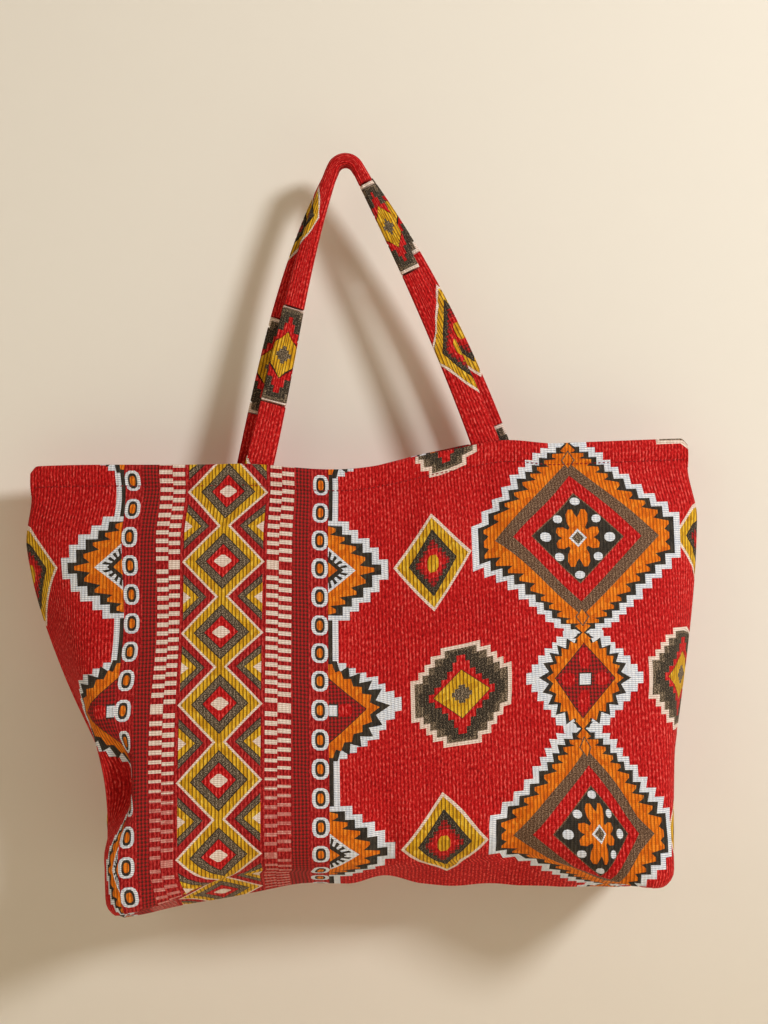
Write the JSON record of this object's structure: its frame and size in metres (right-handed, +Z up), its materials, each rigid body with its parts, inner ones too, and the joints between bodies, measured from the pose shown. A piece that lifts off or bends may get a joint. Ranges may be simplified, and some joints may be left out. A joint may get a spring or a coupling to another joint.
{
  "type": "tote bag",
  "caption": "Large soft tote bag in ribbed red kilim-pattern weave with a boxed base, a turned hem and folded cloth handles, shown as it hangs by the handles.",
  "frame": {"origin": "underside of the handles' crest, where the bag hangs", "axes": "+X to the right seen from the front, +Y to the back, +Z up"},
  "size_m": [0.6126, 0.1433, 0.6921],
  "materials": {
    "woven_cloth": "ribbed chenille weave with a geometric pattern",
    "handle_cloth": "ribbed chenille weave, folded"
  },
  "bodies": {
    "root": {"front_panel": "woven_cloth", "back_panel": "woven_cloth", "front_handle": "handle_cloth", "back_handle": "handle_cloth"}
  },
  "joints": []
}
